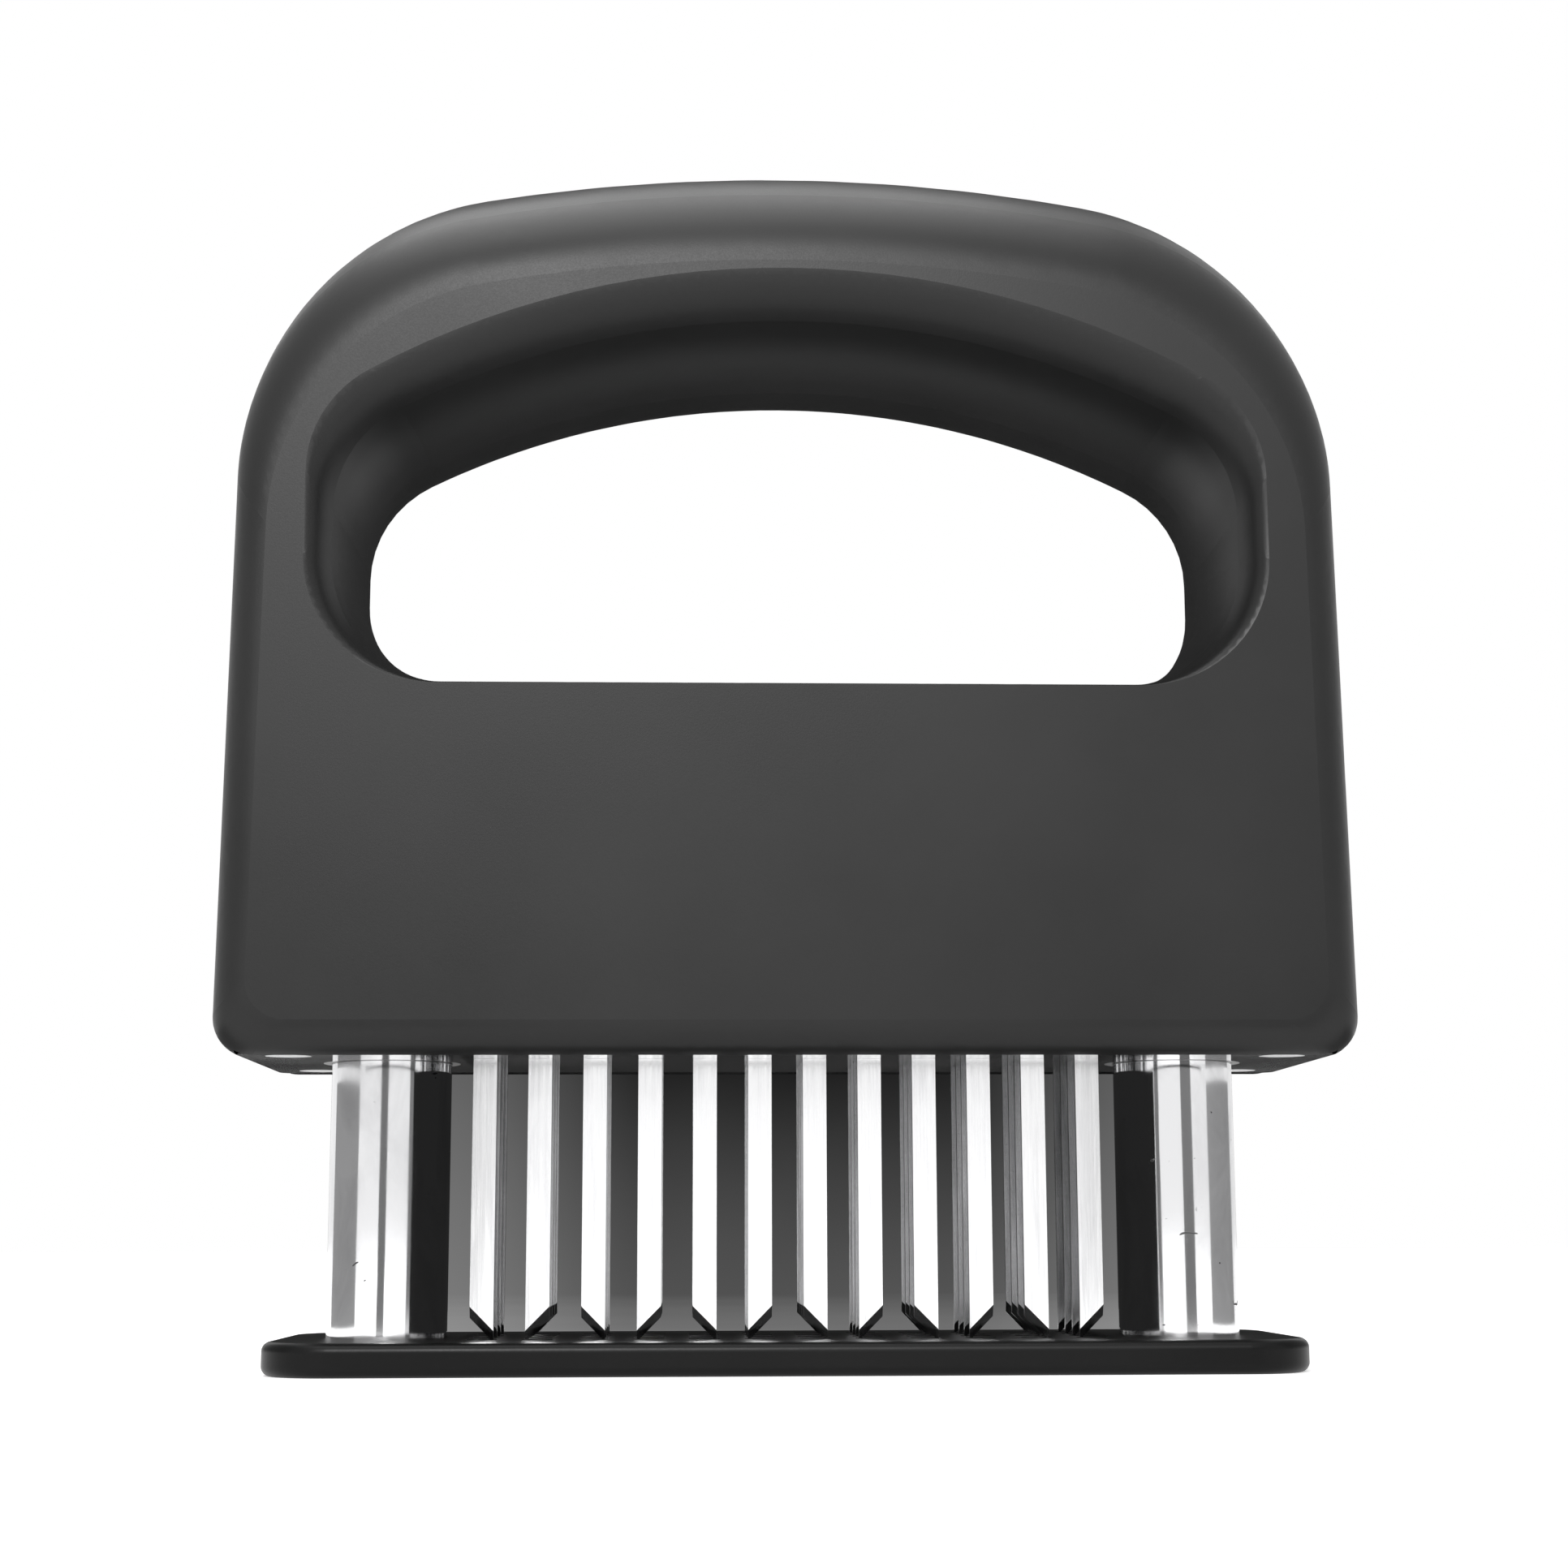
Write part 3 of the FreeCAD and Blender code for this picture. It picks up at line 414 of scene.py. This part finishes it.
# Camera, from the fit of the blade grid, columns and edges in the photograph
PHOTO_SIDE = 1932
FOCAL_PIXELS = 3264.7
SENSOR_WIDTH = 36.0
CLIP_START = 0.01
CLIP_END = 20.0
CAMERA_PLACE = Vector((-0.01145, -0.31557, 0.01494))
CAMERA_PITCH = 0.16995
CAMERA_YAW = 0.03649
CAMERA_ROLL = -0.00278


def add_camera():
    data = bpy.data.cameras.new("camera")
    data.sensor_width = SENSOR_WIDTH
    data.lens = FOCAL_PIXELS / PHOTO_SIDE * SENSOR_WIDTH
    data.clip_start = CLIP_START
    data.clip_end = CLIP_END
    ahead = Vector((math.sin(CAMERA_YAW), math.cos(CAMERA_YAW), 0.0))
    forward = math.cos(CAMERA_PITCH) * ahead + math.sin(CAMERA_PITCH) * UP
    level = ahead.cross(UP)
    above_level = level.cross(forward)
    right = math.cos(CAMERA_ROLL) * level + math.sin(CAMERA_ROLL) * above_level
    above = math.cos(CAMERA_ROLL) * above_level - math.sin(CAMERA_ROLL) * level
    turn = Matrix((right, above, -forward)).transposed().to_4x4()
    camera = bpy.data.objects.new("camera", data)
    camera.matrix_world = Matrix.Translation(CAMERA_PLACE) @ turn
    bpy.context.scene.collection.objects.link(camera)
    bpy.context.scene.camera = camera


# Lamps and world
SOFT_LIGHT = 0.35
WHITE = 1.0


def add_lamp(name, place, target, width, height, power):
    data = bpy.data.lights.new(name, "AREA")
    data.shape = "RECTANGLE"
    data.size = width
    data.size_y = height
    data.energy = power
    lamp = bpy.data.objects.new(name, data)
    lamp.location = place
    lamp.rotation_mode = "QUATERNION"
    lamp.rotation_quaternion = (Vector(target) - Vector(place)).to_track_quat("-Z", "Y")
    bpy.context.scene.collection.objects.link(lamp)


def set_world():
    """Soft even light, which camera, glossy and transmission rays see as plain white."""
    world = bpy.data.worlds.new("studio")
    bpy.context.scene.world = world
    world.use_nodes = True
    tree = world.node_tree
    tree.nodes.clear()
    mix = tree.nodes.new("ShaderNodeMixShader")
    tree.links.new(seen_rays(tree), mix.inputs["Fac"])
    for index, strength in ((1, SOFT_LIGHT), (2, WHITE)):
        background = tree.nodes.new("ShaderNodeBackground")
        background.inputs["Color"].default_value = (*grey(1.0), 1.0)
        background.inputs["Strength"].default_value = strength
        tree.links.new(background.outputs["Background"], mix.inputs[index])
    output = tree.nodes.new("ShaderNodeOutputWorld")
    tree.links.new(mix.outputs["Shader"], output.inputs["Surface"])


# Floor, which fades to plain white away from the tool
FLOOR_HALF = 3.0
FLOOR_GLOW = 0.5
FADE_START = 0.3
FADE_END = 1.0
FLOOR_TONES = (0.86, 0.88)
FLOOR_ROUGHNESS = 0.85
FLOOR_MOTTLE_SCALE = 40.0
FLOOR_MOTTLE_DEPTH = 0.1 * MM


def floor_paper():
    """Pale paper: it glows a little near the tool, and as white as the world beyond the fade."""
    dark, light = FLOOR_TONES
    m = Shader("floor_paper")
    place = m.place()
    mottle = m.noise(place, scale=FLOOR_MOTTLE_SCALE, detail=5.0)
    colour = m.mixed(m.spread(mottle), grey(dark), grey(light))
    m.surface(colour, FLOOR_ROUGHNESS, m.bump(mottle, FLOOR_MOTTLE_DEPTH, 0.1))
    distance = m.node("VectorMath", operation="LENGTH")
    m.feed(place, distance.inputs["Vector"])
    m.add_glow(m.ranged(distance.outputs["Value"], FADE_START, FADE_END, FLOOR_GLOW, WHITE, smooth=True))
    return m.material


def add_floor():
    half = FLOOR_HALF
    corners = [(-half, -half, 0), (half, -half, 0), (half, half, 0), (-half, half, 0)]
    floor = add_mesh("floor", corners, [(0, 1, 2, 3)])
    floor.data.materials.append(floor_paper())


def hide_from(piece, *rays):
    for ray in rays:
        setattr(piece, f"visible_{ray}", False)


# Flags that only mirrors show, so that steel and gloss get the photograph's dark bands
FRONT_FLAG_Y = -0.12
FRONT_FLAG_HEIGHT = 0.05
FRONT_FLAG_SHADE = 0.2
FRONT_FLAG_SPANS = {"left": (-0.075, -0.046), "right": (0.055, 0.1)}
REAR_FLAG_Y = 0.25
REAR_FLAG_HEIGHT = 0.5
REAR_FLAG_SHADE = 0.03
REAR_FLAG_SPAN = (-0.12, 0.14)
INNER_FLAG_X = 0.0377
INNER_FLAG_DEPTHS = (-0.011, 0.016)
INNER_FLAG_SHADE = 0.02
OUTER_FLAG_X = 0.075
OUTER_FLAG_DEPTHS = (-0.023, 0.012)
OUTER_FLAG_SHADE = 0.36
SIDE_FLAG_LOW = 0.0042
SIDE_FLAG_HIGH = 0.0345
FLAG_CLOUD_SCALE = 6.0
FLAG_UNEVENNESS = 0.2


def flag_shade(name, shade):
    """Even grey light with soft clouds in it."""
    m = Shader(name)
    clouds = m.noise(m.place(), scale=FLAG_CLOUD_SCALE, detail=2.0)
    light = m.spread(clouds, (1 - FLAG_UNEVENNESS) * shade, (1 + FLAG_UNEVENNESS) * shade)
    m.feed(m.glow(light), m.output.inputs["Surface"])
    return m.material


def add_flag(name, corners, shade):
    flag = add_mesh(name, corners, [(0, 1, 2, 3)])
    flag.data.materials.append(flag_shade(name, shade))
    hide_from(flag, "camera", "diffuse", "shadow", "transmission")


def facing_flag(name, span, y, height, shade):
    """A flag on the floor, square to the tool's front."""
    left, right = span
    add_flag(name, [(left, y, 0.0), (right, y, 0.0), (right, y, height), (left, y, height)], shade)


def side_flag(name, x, depths, shade):
    """A flag beside a column, square to the tool's side."""
    front, rear = depths
    low = SIDE_FLAG_LOW
    high = SIDE_FLAG_HIGH
    add_flag(name, [(x, front, low), (x, rear, low), (x, rear, high), (x, front, high)], shade)


def add_flags():
    for side, span in FRONT_FLAG_SPANS.items():
        facing_flag(f"front_flag_{side}", span, FRONT_FLAG_Y, FRONT_FLAG_HEIGHT, FRONT_FLAG_SHADE)
    facing_flag("rear_flag", REAR_FLAG_SPAN, REAR_FLAG_Y, REAR_FLAG_HEIGHT, REAR_FLAG_SHADE)
    for side, sign in (("left", -1), ("right", 1)):
        side_flag(f"{side}_flag", sign * INNER_FLAG_X, INNER_FLAG_DEPTHS, INNER_FLAG_SHADE)
        side_flag(f"outer_{side}_flag", sign * OUTER_FLAG_X, OUTER_FLAG_DEPTHS, OUTER_FLAG_SHADE)


# Painted shadow behind the blades, as in the photograph: a strip of floor that widens away from the camera,
# and an upright at its end, which glow grey in place of the tool's shadow. Slopes are sideways over depth,
# from the camera.
GREY_FRONT = 0.108
GREY_REAR = 0.42
GREY_HEIGHT = 0.06
GREY_LIFT = 0.2 * MM
GREY_SLOPES = (-0.104, 0.190)
FRONT_FADE = 0.02
SIDE_FADE_START = 0.9
FRONT_LIGHT = 0.17
REAR_LIGHT = 0.085
HEIGHT_LIGHT_CHANGE = -0.068
SIDE_LIGHT_CHANGE = 0.11
SIDE_LIGHT_START = 0.35
SIDE_LIGHT_FULL = 0.95
GREY_CLOUD_SCALE = 14.0
GREY_CLOUD_CHANGE = 0.006


def grey_ground_mesh():
    left, right = GREY_SLOPES
    near = GREY_FRONT - CAMERA_PLACE.y
    far = GREY_REAR - CAMERA_PLACE.y
    near_left = CAMERA_PLACE.x + left * near
    near_right = CAMERA_PLACE.x + right * near
    far_left = CAMERA_PLACE.x + left * far
    far_right = CAMERA_PLACE.x + right * far
    corners = [
        (near_left, GREY_FRONT, GREY_LIFT),
        (near_right, GREY_FRONT, GREY_LIFT),
        (far_right, GREY_REAR, GREY_LIFT),
        (far_left, GREY_REAR, GREY_LIFT),
        (far_right, GREY_REAR, GREY_HEIGHT),
        (far_left, GREY_REAR, GREY_HEIGHT),
    ]
    return add_mesh("painted_shadow_card", corners, [(0, 1, 2, 3), (3, 2, 4, 5)])


def grey_ground_tone():
    """Painted shadow as grey light, brighter near the tool and at the sides, which fades out at the front and
    side edges.
    """
    m = Shader("painted_shadow_card")
    place = m.place()
    parts = m.node("SeparateXYZ")
    m.feed(place, parts.inputs["Vector"])
    x, y, z = (parts.outputs[name] for name in "XYZ")
    left, right = GREY_SLOPES
    reach = (right - left) / 2
    sideways = m.maths("SUBTRACT", x, CAMERA_PLACE.x)
    slope = m.maths("DIVIDE", sideways, m.maths("SUBTRACT", y, CAMERA_PLACE.y))
    off_middle = m.maths("ABSOLUTE", m.maths("SUBTRACT", slope, (left + right) / 2))
    changes = [
        m.ranged(z, 0.0, GREY_HEIGHT, 0.0, HEIGHT_LIGHT_CHANGE),
        m.ranged(off_middle, SIDE_LIGHT_START * reach, SIDE_LIGHT_FULL * reach, 0.0, SIDE_LIGHT_CHANGE, True),
        m.spread(m.noise(place, scale=GREY_CLOUD_SCALE, detail=3.0), -GREY_CLOUD_CHANGE, GREY_CLOUD_CHANGE),
    ]
    light = m.ranged(y, GREY_FRONT, GREY_REAR, FRONT_LIGHT, REAR_LIGHT)
    for change in changes:
        light = m.maths("ADD", light, change)
    front_fade = m.ranged(y, GREY_FRONT, GREY_FRONT + FRONT_FADE, 1.0, 0.0, smooth=True)
    side_fade = m.ranged(off_middle, SIDE_FADE_START * reach, reach, smooth=True)
    mix = m.node("MixShader")
    m.feed(m.maths("MAXIMUM", side_fade, front_fade), mix.inputs["Fac"])
    m.feed(m.glow(light), mix.inputs[1])
    m.feed(m.node("BsdfTransparent").outputs["BSDF"], mix.inputs[2])
    m.feed(mix.outputs["Shader"], m.output.inputs["Surface"])
    return m.material


# The painted shadow card: camera and mirrors see its grey glow, and it casts no shadow and lights nothing.
def add_grey_ground():
    painted_shadow_piece = grey_ground_mesh()
    painted_shadow_piece.data.materials.append(grey_ground_tone())
    hide_from(painted_shadow_piece, "diffuse", "shadow")


add_camera()
add_floor()
add_grey_ground()
add_flags()
set_world()
add_lamp("top_lamp", place=(-0.1, 0.0, 0.9), target=(0.0, 0.0, 0.08), width=0.9, height=0.6, power=5.0)
add_lamp("front_lamp", place=(-0.1, -0.95, 0.62), target=(0.0, 0.0, 0.09), width=0.3, height=0.3, power=8.5)
bpy.context.scene.view_settings.view_transform = "Standard"
